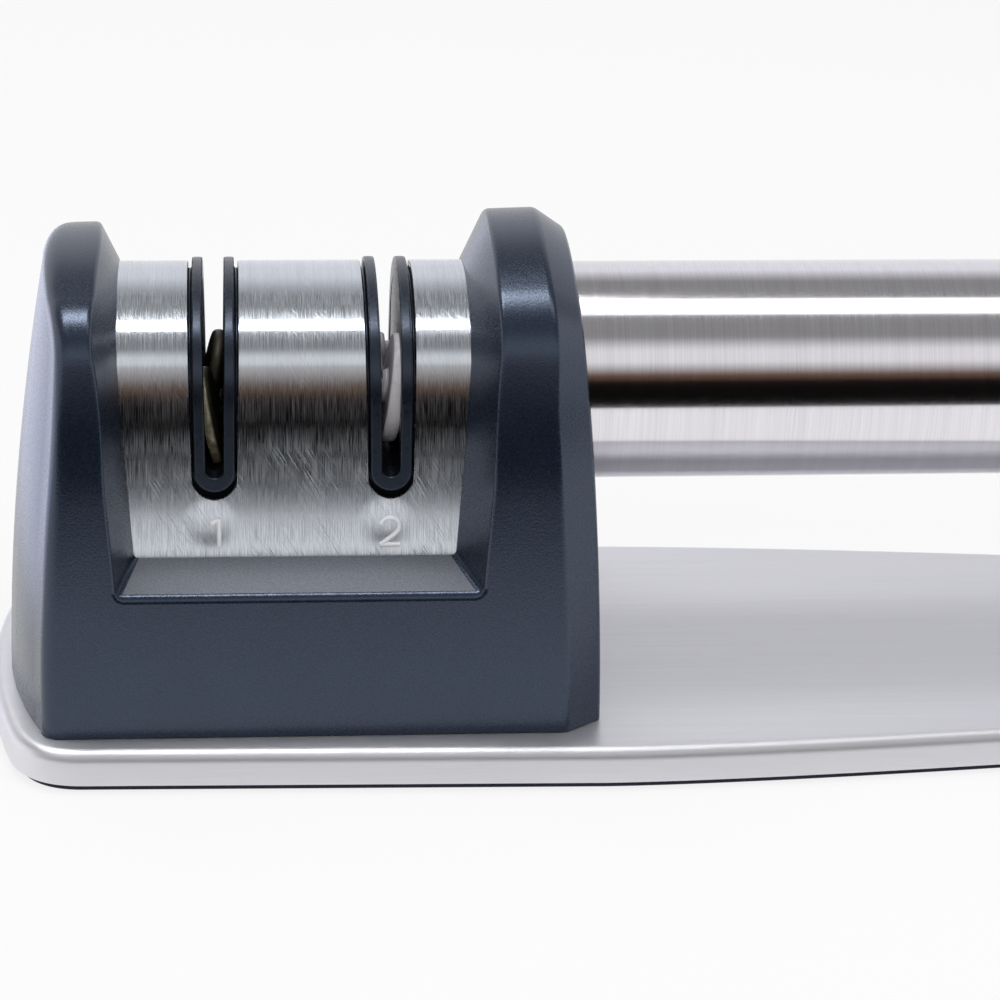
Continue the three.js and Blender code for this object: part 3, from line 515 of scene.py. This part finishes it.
def makeHead():
    mesh = bmesh.new()
    skirt = [headRow(("skirt", i / head["skirtRows"])) for i in range(head["skirtRows"] + 1)]
    legs = [headRow(("leg", 1 - i / arch["legRows"])) for i in range(1, arch["legRows"] + 1)]
    upper = [headRow(row) for row in archRows]
    everyRow = skirt + legs + upper
    windowRows = skirt[-1:] + legs + upper
    addGrid(mesh, mirrored([row["left"] for row in everyRow]))
    addGrid(mesh, mirrored([row["right"] for row in everyRow]))
    addGrid(mesh, mirrored([[row["left"][-1], between(row["left"][-1], row["innerLeft"], 0.5), row["innerLeft"],
                             row["tuckLeft"]] for row in windowRows]))
    addGrid(mesh, mirrored([[row["tuckRight"], row["innerRight"], between(row["innerRight"], row["right"][0], 0.5),
                             row["right"][0]] for row in windowRows]))
    sillOuter = skirt[-1]["middle"]
    count = len(sillOuter) - 1
    sillRows = []
    for t in (0.5, 1.0):
        sillRows.append([between(point, between(skirt[-1]["innerLeft"], skirt[-1]["innerRight"], i / count), t)
                         for i, point in enumerate(sillOuter)])
    sillRows.append([(x, y + window["tuck"], z) for x, y, z in sillRows[-1]])
    front = [row["middle"] for row in skirt]
    # the sill rows take the second finish, whose lighter grey is a painted sheen
    for rows, finishIndex in ((front, 0), ([sillOuter] + sillRows, 1)):
        addGrid(mesh, rows, finishIndex=finishIndex)
        addGrid(mesh, [[(x, -y, z) for x, y, z in row] for row in reversed(rows)], finishIndex=finishIndex)
    bmesh.ops.remove_doubles(mesh, verts=mesh.verts, dist=0.003)
    weight = mesh.edges.layers.float.new("bevel_weight_edge")
    outermost = legHalf(head["proud"], head["rolledZ"]) - head["rolledReach"]
    for edge in mesh.edges:  # the sill's outer edge is rolled wider than the rest
        if len(edge.link_faces) == 2 and edge.calc_face_angle(0.0) > math.radians(head["softAngle"]):
            kinds = sorted(face.material_index for face in edge.link_faces)
            rolled = kinds == [0, 1] and max(abs(v.co.y) for v in edge.verts) > outermost
            edge[weight] = 1.0 if rolled else head["softShare"]
    piece = buildPiece("headShell", mesh, blackAbs, stands=["head_housing"], inside=(-60, 0, 20))
    # second finish: the sill's painted sheen
    piece.data.materials.append(sillAbs)
    softEdges(piece, head["rolledEdge"]).limit_method = "WEIGHT"
    return piece


makeHead()
print("head made")

# Steel cover: one bent sheet with two open slots
cover = dict(lap=1.9, tuck=2.6, sheet=0.8, slotX=(-70.65, -48.65), slotDepth=24.0, halfBottom=2.8, halfTop=3.2,
             edge=0.24, columns=8, arcRows=8)


def slotHalf(z, depth, halfBottom, halfTop):  # half width of a slot at a height, 0 below its round bottom
    bottom = arch["crestZ"] - depth
    if z <= bottom:
        return 0.0
    if z < bottom + halfBottom:
        return math.sqrt(max(0.0, halfBottom ** 2 - (bottom + halfBottom - z) ** 2))
    return mix(halfBottom, halfTop, (z - bottom - halfBottom) / (arch["crestZ"] + 1 - bottom - halfBottom))


def coverRows():  # (y, z, length along the sheet) of the front half
    foot = window["sillZ"] - cover["tuck"]
    bottom = arch["crestZ"] - cover["slotDepth"]
    heights = [mix(foot, bottom, i / 4) for i in range(5)]
    heights += [bottom + cover["halfBottom"] * (1 - math.cos(math.pi / 2 * i / cover["arcRows"]))
                for i in range(1, cover["arcRows"] + 1)]
    last = heights[-1]
    heights += [mix(last, legTop(0.0), i / 5) for i in range(1, 6)]
    points = [(-legHalf(0.0, z), z) for z in heights] + [archPoint(tilt, 0.0) for _, tilt in archRows]
    lengths = [0.0]
    for before, after in zip(points, points[1:]):
        lengths.append(lengths[-1] + math.dist(before, after))
    return [(y, z, s) for (y, z), s in zip(points, lengths)]


def makeCover():
    mesh = bmesh.new()
    half = window["halfWidth"] + cover["lap"]
    front = coverRows()
    total = front[-1][2]
    rows = front + [(-y, z, 2 * total - s) for y, z, s in reversed(front[:-1])]
    ends = [window["middle"] - half, *cover["slotX"], window["middle"] + half]
    for panel in range(3):
        points, maps = [], []
        for y, z, s in rows:
            reach = slotHalf(z, cover["slotDepth"], cover["halfBottom"], cover["halfTop"])
            low = ends[panel] + (reach if panel > 0 else 0.0)
            high = ends[panel + 1] - (reach if panel < 2 else 0.0)
            line = [mix(low, high, i / cover["columns"]) for i in range(cover["columns"] + 1)]
            points.append([(x, y, z) for x in line])
            maps.append([(x, s) for x in line])
        addGrid(mesh, points, maps)
    piece = buildPiece("coverSheet", mesh, coverSteel, stands=["steel_cover"], inside=(-60, 0, 30))
    thick = piece.modifiers.new("sheet", "SOLIDIFY")
    thick.thickness = cover["sheet"] * mm
    thick.offset = -1.0
    softEdges(piece, cover["edge"], 50, 2)
    return piece


makeCover()
print("cover made")

# Slot guide lips: a rounded rim that stands a little proud of the cover all round each slot
lip = dict(depth=22.9, outerBottom=2.54, outerTop=2.69, slotDepth=21.0, slotBottom=1.08, slotTop=1.36, proud=0.45,
           shelf=0.95, shelfWide=1.6, lining=2.2, edge=0.3, arcSteps=12)


def makeLip(name, slotX):
    mesh = bmesh.new()
    rows = [("leg", i / 5) for i in range(6)] + archRows
    topZ = arch["crestZ"]

    def station(kind, at, offset, centreZ):
        if kind == "arch":
            return archPoint(at, offset, arch["roundArcs"])
        z = mix(centreZ, legTop(offset, arch["roundArcs"]), at)
        return -legHalf(offset, z), z

    rings = []
    outerEdge = (lip["outerBottom"], lip["outerTop"], topZ - lip["depth"] + lip["outerBottom"])
    slotEdge = (lip["slotBottom"], lip["slotTop"], topZ - lip["slotDepth"] + lip["slotBottom"])
    wide = lip["shelfWide"]  # hidden under the cover's own edge
    shelfEdge = (outerEdge[0] + wide, outerEdge[1] + wide, outerEdge[2])
    for (low, high, centreZ), offset in ((shelfEdge, -lip["shelf"]), (outerEdge, -lip["shelf"]),
                                         (outerEdge, lip["proud"]), (slotEdge, lip["proud"]),
                                         (slotEdge, -lip["lining"])):
        side = []
        for kind, value in rows:
            y, z = station(kind, value, offset, centreZ)
            nearZ = station(kind, value, 0.0, centreZ)[1]
            side.append((mix(low, high, (nearZ - centreZ) / (topZ - centreZ)), y, z))
        overTop = side + [(x, -y, z) for x, y, z in reversed(side[:-1])]
        turn = [math.pi * i / lip["arcSteps"] for i in range(1, lip["arcSteps"])]
        ring = [(slotX - x, y, z) for x, y, z in overTop]
        ring += [(slotX - low * math.cos(a), legHalf(offset, centreZ - low * math.sin(a)), centreZ - low * math.sin(a))
                 for a in turn]
        ring += [(slotX + x, y, z) for x, y, z in reversed(overTop)]
        ring += [(slotX + low * math.cos(a), -legHalf(offset, centreZ - low * math.sin(a)), centreZ - low * math.sin(a))
                 for a in turn]
        rings.append(ring)
    addGrid(mesh, rings[1:], closed=True)
    # the shelf under the cover's edge takes the second finish, the near-black painted shade
    addGrid(mesh, rings[:2], closed=True, finishIndex=1)
    mesh.normal_update()
    middleFaces = [f for f in mesh.faces if abs(f.calc_center_median().y) < 1 and f.normal.z < -0.7]
    if middleFaces:
        bmesh.ops.reverse_faces(mesh, faces=mesh.faces)
    piece = buildPiece(name, mesh, guideAbs)
    piece.data.materials.append(guideShade)
    softEdges(piece, lip["edge"], 40)
    return piece


for lipName, lipX in zip(("guideLipCoarse", "guideLipFine"), cover["slotX"]):
    makeLip(lipName, lipX)
print("guide lips made")


# Round bar along a line of points, for the stage numerals
def addStroke(mesh, line, radius, steps=10):
    rings = []
    for i, point in enumerate(line):
        before, after = line[max(0, i - 1)], line[min(len(line) - 1, i + 1)]
        along = (Vector(after) - Vector(before)).normalized()
        out = Vector((0, -1, 0))
        sideways = along.cross(out).normalized()
        rings.append([Vector(point) + radius * (math.cos(a) * sideways + math.sin(a) * out)
                      for a in (2 * math.pi * k / steps for k in range(steps))])
    addGrid(mesh, rings, closed=True)
    for ring in (rings[0], rings[-1]):
        mesh.faces.new([mesh.verts.new(p) for p in ring])


numeral = dict(height=3.6, stroke=0.33, sink=0.06, places=((-70.15, 29.85), (-48.75, 29.8)))


def numeralLines():  # strokes of 1 and 2 in a box from 0 to 1 in height
    one = [[(-0.26, 0.8), (-0.12, 0.88), (0.0, 1.0)], [(0.0, 1.0), (0.0, 0.5), (0.0, 0.0)]]
    bow = [(0.33 * math.cos(a), 0.68 + 0.32 * math.sin(a))
           for a in (math.radians(d) for d in range(165, -36, -20))]
    two = [bow + [(0.12, 0.34), (-0.12, 0.16), (-0.33, 0.0)], [(-0.33, 0.0), (0.0, 0.0), (0.35, 0.0)]]
    return one, two


def makeNumerals():
    for name, strokes, (x, z) in zip(("stageNumeralOne", "stageNumeralTwo"), numeralLines(), numeral["places"]):
        mesh = bmesh.new()
        tall = numeral["height"]
        for stroke in strokes:
            heights = [z + (v - 0.5) * tall for _, v in stroke]
            line = [(x + u * tall, numeral["sink"] - legHalf(0.0, h), h) for (u, _), h in zip(stroke, heights)]
            addStroke(mesh, line, numeral["stroke"])
        buildPiece(name, mesh, numeralSteel, crease=60)


makeNumerals()
print("numerals made")

# Base: pressed plate with a rolled top edge, and the pad under it
base = dict(left=-100.0, right=95.0, halfLeft=31.0, halfMax=32.3, halfRight=23.2, bow=5.4, setback=3.2, corner=7.5,
            sideControl=(-54.5, -31.65), headRight=-22.0, taperSoft=26.0, rightRound=12.0, top=5.6, edgeRadius=1.6,
            flat=1.5, bottom=1.1, sheet=0.8, padInset=0.9, padTop=1.0, padEdge=0.25, curveSteps=28, edgeSteps=8)


def baseOutline(inset):
    b = base
    cornerY = b["halfLeft"] - b["corner"]
    softX, taperEnd = b["headRight"] + b["taperSoft"], b["right"] - b["rightRound"]
    slope = (b["halfMax"] - b["halfRight"]) / (taperEnd - softX)
    knots = [  # start, control and end of each curve
        ((b["left"], 0), (b["left"], -cornerY / 2), (b["left"] + b["setback"], -cornerY)),
        ((b["left"] + b["setback"], -cornerY), (b["left"] + b["bow"], -b["halfLeft"]),
         (b["left"] + b["bow"] + b["corner"], -b["halfLeft"])),
        ((b["left"] + b["bow"] + b["corner"], -b["halfLeft"]), b["sideControl"], (b["headRight"], -b["halfMax"])),
        ((b["headRight"], -b["halfMax"]), (softX, -b["halfMax"]), (taperEnd, -b["halfRight"])),
        ((taperEnd, -b["halfRight"]), (b["right"], -(b["halfRight"] - slope * b["rightRound"])), (b["right"], 0)),
    ]
    front = [knots[0][0]]
    for start, control, end in knots:
        for i in range(1, b["curveSteps"] + 1):
            t = i / b["curveSteps"]
            front.append(tuple(mix(mix(p, q, t), mix(q, r, t), t) for p, q, r in zip(start, control, end)))
    line = front + [(x, -y) for x, y in reversed(front[1:-1])]
    moved = []
    for i, (x, y) in enumerate(line):
        before, after = line[i - 1], line[(i + 1) % len(line)]
        along = (Vector(after) - Vector(before)).normalized()
        moved.append((x - along.y * inset, y + along.x * inset))
    return moved


def loftedPiece(name, rings, finish, stands, capTop, capBottom, inside):
    mesh = bmesh.new()
    rows = [[(x, y, z) for x, y in baseOutline(inset)] for inset, z in rings]
    maps = [[(y + z, x) for x, y, z in row + row[:1]] for row in rows]
    corners = addGrid(mesh, rows, maps, closed=True)
    layer = mesh.loops.layers.uv.verify()
    for ring, wanted in ((corners[-1], capTop), (corners[0], capBottom)):
        if wanted:
            cap = mesh.faces.new(ring)
            for loop in cap.loops:
                x, y, z = loop.vert.co
                loop[layer].uv = ((y + z) * mm, x * mm)
    bmesh.ops.recalc_face_normals(mesh, faces=mesh.faces)
    return buildPiece(name, mesh, finish, stands=stands, crease=40, inside=inside)


def makeBase():
    b = base
    rolled = [(b["sheet"], b["top"] - b["edgeRadius"]), (b["sheet"], b["bottom"]), (0.0, b["bottom"])]
    for i in range(b["edgeSteps"] + 1):
        angle = math.pi / 2 * i / b["edgeSteps"]
        rolled.append((b["edgeRadius"] * (1 - math.cos(angle)),
                       b["top"] - b["edgeRadius"] * (1 - math.sin(angle))))
    rolled.append((b["edgeRadius"] + b["flat"], b["top"]))
    loftedPiece("basePlateSkin", rolled, plateSteel, ["base_plate"], True, False, (0, 0, 2))
    soft = b["padEdge"]
    rim = [(b["padInset"] + soft, 0.0), (b["padInset"], soft), (b["padInset"], b["padTop"] - soft / 2),
           (b["padInset"] + soft / 2, b["padTop"])]
    loftedPiece("padSkin", rim, padRubber, ["base_pad"], True, True, (0, 0, 0.5))


makeBase()
print("base made")


# Turned pieces: (radius, height) pairs about the piece's own Z
def makeTurned(name, profile, steps, finish, place, stands, body=mainBody, crease=35):
    mesh = bmesh.new()
    rows, maps, length = [], [], 0.0
    for i, (radius, height) in enumerate(profile):
        length += math.dist(profile[i - 1], (radius, height)) if i else 0.0
        turn = [2 * math.pi * k / steps for k in range(steps + 1)]
        rows.append([(radius * math.cos(a), radius * math.sin(a), height) for a in turn[:-1]])
        maps.append([(length, a * max(p[0] for p in profile)) for a in turn])
    addGrid(mesh, rows, maps, closed=True)
    return buildPiece(name, mesh, finish, body=body, stands=stands, place=place, crease=crease)


def standing(centre, axis):  # a place whose Z runs along the axis
    return Matrix.Translation(Vector(centre) * mm) @ Vector(axis).to_track_quat("Z", "X").to_matrix().to_4x4()


handle = dict(axisZ=44.4, radius=14.0, wall=1.0, start=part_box("handle_tube")[0][0] / mm, end=95.0, edge=0.35,
              capFlange=2.0, capDome=3.0, capSquareness=0.5, capSpigot=14.0, capGap=0.1, capFit=0.3, capEdge=0.25,
              capSteps=14, steps=128)


def makeHandle():
    h = handle
    inner, edge = h["radius"] - h["wall"], h["edge"]
    place = standing((0, 0, h["axisZ"]), (1, 0, 0))
    tube = [(inner, h["start"]), (h["radius"], h["start"])]
    tube += [(h["radius"] - edge * (1 - math.cos(a)), h["end"] - edge * (1 - math.sin(a)))
             for a in (math.pi / 2 * i / 4 for i in range(5))]
    tube.append((inner, h["end"]))
    makeTurned("handleTubeSkin", tube, h["steps"], tubeSteel, place, ["handle_tube"])
    plug = inner - h["capFit"]
    cap = [(0.0, h["end"] - h["capSpigot"]), (plug, h["end"] - h["capSpigot"]), (plug, h["end"] + h["capGap"]),
           (h["radius"] - h["capEdge"], h["end"] + h["capGap"]),
           (h["radius"], h["end"] + h["capGap"] + h["capEdge"]),
           (h["radius"], h["end"] + h["capFlange"])]
    for i in range(1, h["capSteps"] + 1):
        angle = math.pi / 2 * i / h["capSteps"]
        radius = 0.0 if i == h["capSteps"] else h["radius"] * math.cos(angle) ** h["capSquareness"]
        cap.append((radius, h["end"] + h["capFlange"] + h["capDome"] * math.sin(angle)))
    makeTurned("handleEndCapSkin", cap, h["steps"], blackAbs, place, ["handle_end_cap"])


makeHandle()
print("handle made")

disc = dict(coarse=dict(radius=6.6, rounding=0.6, hub=None), fine=dict(radius=6.95, rounding=0.35, hub=(2.2, 1.6)),
            bore=1.3, half=0.95, hubEdge=0.3, hubFillet=0.2, rimSteps=10, steps=96)


def discProfile(stage, row):  # half a section: a rounded rim, and a hub on the side that faces across the slot
    kind, bore, half = disc[stage], disc["bore"], disc["half"]
    rim = [(kind["radius"] - kind["rounding"] * (1 - math.cos(a)), half * math.sin(a))
           for a in (math.pi * (i / disc["rimSteps"] - 0.5) for i in range(disc["rimSteps"] + 1))]
    if not kind["hub"]:
        return [(bore, -half)] + rim + [(bore, half), (bore, -half)]
    radius, tall = kind["hub"]
    edge, fillet = disc["hubEdge"], disc["hubFillet"]
    profile = [(bore, -tall), (radius - edge, -tall), (radius, -tall + edge), (radius, -half - fillet),
               (radius + fillet, -half)] + rim + [(bore, half), (bore, -tall)]
    return profile if row == "front" else [(r, -z) for r, z in reversed(profile)]


def makeDiscs():
    # the rear coarse disc takes the darker copy, painted shade
    finishes = dict(coarse_front=coarseDiscFinish, coarse_rear=coarseDiscPaintedShade, fine_front=fineDiscFinish,
                    fine_rear=fineDiscFinish)
    for joint in frame["joints"]:
        stage, row, _ = joint["name"].split("_")
        centre = [value / mm for value in joint["pos_m"]]
        makeTurned(stage + row.capitalize() + "DiscSkin", discProfile(stage, row), disc["steps"],
                   finishes[f"{stage}_{row}"], standing(centre, joint["axis"]), [f"{stage}_disc_{row}"],
                   joint["child"])


makeDiscs()
print("discs made")

# Finishes of the CAD nodes that stay on show
for nodeName, node in frame["nodes"].items():
    if node.hide_render:
        continue
    if "_pin_" in nodeName:
        finish = fineDiscFinish if "fine" in nodeName else blackenedSteel
    elif "screw" in nodeName or nodeName in ("handle_bolt", "bolt_washer"):
        finish = plainSteel
    elif nodeName == "slot_guide_fine":
        finish = guideAbs
    elif nodeName == "slot_guide_coarse":
        # the coarse guide takes the near-black painted shade
        finish = guideShade
    else:
        finish = innerAbs
    node.data.materials.clear()
    node.data.materials.append(finish)
print("carried-over nodes finished")


# Studio: pale floor, an even white world, soft lamps, and panels that only reflections see
studio = dict(floorSize=3.0, floorColour="#f4f4f6", floorGlow=0.8, worldFill=0.3, coveRadius=1.2, coveHalfLength=2.2,
              coveZ=0.04, coveSteps=48, lampAim=(-0.03, 0, 0.03), cardColour="#0a0908", cardY=-0.13,
              cardHeight=0.062, cardHalfLength=0.7,
              overHead=dict(x=(-0.6, 0.03), y=(-0.02, 0.19), z=0.85, colour="#ffffff", strength=9.0),
              overHandle=dict(x=(0.03, 0.6), y=(-0.15, 0.13), z=0.85, colour="#ffffff", strength=2.0),
              leftFloor=dict(x=(-0.6, -0.125), y=(0.0, 0.6), z=0.001, colour="#e6e9fb", strength=1.9))
# plain surfaces of the room that the steel reflects, by angle from the front horizon over the top to the back
surround = [
    dict(name="darkCameraSide", span=(0, 7), colour="#0c0c0c"),
    dict(name="woodenTable", span=(12, 14), colour="#604838"),
    dict(name="frontReflector", span=(28, 40), colour="#f0f0f0"),
    dict(name="greyCeiling", span=(54, 126), colour="#909090"),
    dict(name="backWall", span=(148, 180), colour="#f0f0f4"),
]


def isSeen(tree):  # 1 for camera, glossy and transmission rays, 0 for the rays that carry light
    path = addNode(tree, "LightPath")
    first = addNode(tree, "Math", {"operation": "MAXIMUM"}, {0: path.outputs["Is Camera Ray"],
                                                             1: path.outputs["Is Glossy Ray"]})
    return addNode(tree, "Math", {"operation": "MAXIMUM"}, {0: first.outputs["Value"],
                                                            1: path.outputs["Is Transmission Ray"]}).outputs["Value"]


def stagePiece(name, points, faces, finish):
    data = bpy.data.meshes.new(name)
    data.from_pydata(points, [], faces)
    data.materials.append(finish)
    piece = bpy.data.objects.new(name, data)
    scene.collection.objects.link(piece)
    return piece


def reflectionOnly(piece):
    piece.visible_camera = False
    piece.visible_diffuse = False
    piece.visible_shadow = False
    piece.visible_transmission = False


def makeFloor():
    finish, tree = newFinish("floorPaper")
    matt = addNode(tree, "BsdfDiffuse", None, {"Color": linear(studio["floorColour"])})
    glow = addNode(tree, "Emission", None, {"Color": grey(1.0), "Strength": 1.0})
    share = addNode(tree, "Math", {"operation": "MULTIPLY"}, {0: isSeen(tree), 1: studio["floorGlow"]})
    both = addNode(tree, "MixShader", None, {0: share.outputs["Value"], 1: matt.outputs["BSDF"],
                                             2: glow.outputs["Emission"]})
    addNode(tree, "OutputMaterial", None, {"Surface": both.outputs["Shader"]})
    s = studio["floorSize"]
    stagePiece("floorSheet", [(-s, -s, 0), (s, -s, 0), (s, s, 0), (-s, s, 0)], [(0, 1, 2, 3)], finish)


def makeWorld():
    world = bpy.data.worlds.new("studioWorld")
    world.use_nodes = True
    tree = world.node_tree
    tree.nodes.clear()
    level = addNode(tree, "MapRange", None, {"Value": isSeen(tree), "To Min": studio["worldFill"], "To Max": 1.0})
    sky = addNode(tree, "Background", None, {"Color": grey(1.0), "Strength": level.outputs["Result"]})
    addNode(tree, "OutputWorld", None, {"Surface": sky.outputs["Background"]})
    scene.world = world


def makeCove():  # a half barrel over the object, banded like the room that the steel reflects
    finish, tree = newFinish("covePaint")
    axes = addNode(tree, "SeparateXYZ", None, {"Vector": addNode(tree, "TexCoord").outputs["Object"]})
    ahead = addNode(tree, "Math", {"operation": "MULTIPLY"}, {0: axes.outputs["Y"], 1: -1.0})
    angle = addNode(tree, "Math", {"operation": "ARCTAN2"}, {0: axes.outputs["Z"], 1: ahead.outputs["Value"]})
    share = addNode(tree, "Math", {"operation": "DIVIDE"}, {0: angle.outputs["Value"], 1: math.pi})
    stops = [(edge / 180, linear(part["colour"])) for part in surround for edge in part["span"]]
    bands = addNode(tree, "ValToRGB", {"stops": stops},
                    {"Fac": share.outputs["Value"]})
    glow = addNode(tree, "Emission", None, {"Color": bands.outputs["Color"], "Strength": 1.0})
    addNode(tree, "OutputMaterial", None, {"Surface": glow.outputs["Emission"]})
    radius, half, steps = studio["coveRadius"], studio["coveHalfLength"], studio["coveSteps"]
    turns = [math.pi * i / steps for i in range(steps + 1)]
    points = [(x, -radius * math.cos(a), radius * math.sin(a)) for a in turns for x in (-half, half)]
    faces = [(2 * i, 2 * i + 1, 2 * i + 3, 2 * i + 2) for i in range(steps)]
    cove = stagePiece("studioCove", points, faces, finish)
    cove.location = (0, 0, studio["coveZ"])
    reflectionOnly(cove)


def makeCard():  # dark card in front, low enough to stay under the camera's line of sight
    finish, tree = newFinish("darkCard")
    dark = addNode(tree, "Emission", None, {"Color": linear(studio["cardColour"]), "Strength": 1.0})
    addNode(tree, "OutputMaterial", None, {"Surface": dark.outputs["Emission"]})
    y, h, s = studio["cardY"], studio["cardHeight"], studio["cardHalfLength"]
    corners = [(-s, y, 0), (s, y, 0), (s, y, h), (-s, y, h)]
    reflectionOnly(stagePiece("frontCard", corners, [(0, 1, 2, 3)], finish))


def makePanel(name):  # a softbox as reflections see it
    panel = studio[name]
    finish, tree = newFinish(name + "Glow")
    glow = addNode(tree, "Emission", None, {"Color": linear(panel["colour"]), "Strength": panel["strength"]})
    addNode(tree, "OutputMaterial", None, {"Surface": glow.outputs["Emission"]})
    (left, right), (near, far), z = panel["x"], panel["y"], panel["z"]
    corners = [(left, near, z), (right, near, z), (right, far, z), (left, far, z)]
    reflectionOnly(stagePiece(name + "Panel", corners, [(0, 1, 2, 3)], finish))


lamps = [
    dict(name="overheadSoftbox", place=(0.0, 0.05, 0.85), size=(1.1, 0.4), power=4.6, colour="#ffffff"),
    dict(name="frontSoftbox", place=(-0.15, -0.75, 0.65), size=(0.9, 0.5), power=3.0, colour="#fffaf4"),
]


def makeLamps():
    for lamp in lamps:
        data = bpy.data.lights.new(lamp["name"], "AREA")
        data.shape = "RECTANGLE"
        data.size, data.size_y = lamp["size"]
        data.energy = lamp["power"]
        data.color = linear(lamp["colour"])[:3]
        light = bpy.data.objects.new(lamp["name"], data)
        light.location = lamp["place"]
        aim = Vector(studio["lampAim"]) - Vector(lamp["place"])
        light.rotation_euler = aim.to_track_quat("-Z", "Y").to_euler()
        light.visible_camera = False
        light.visible_glossy = False
        scene.collection.objects.link(light)


makeFloor()
makeWorld()
makeCove()
makeCard()
for panelName in ("overHead", "overHandle", "leftFloor"):
    makePanel(panelName)
makeLamps()
print("studio set")
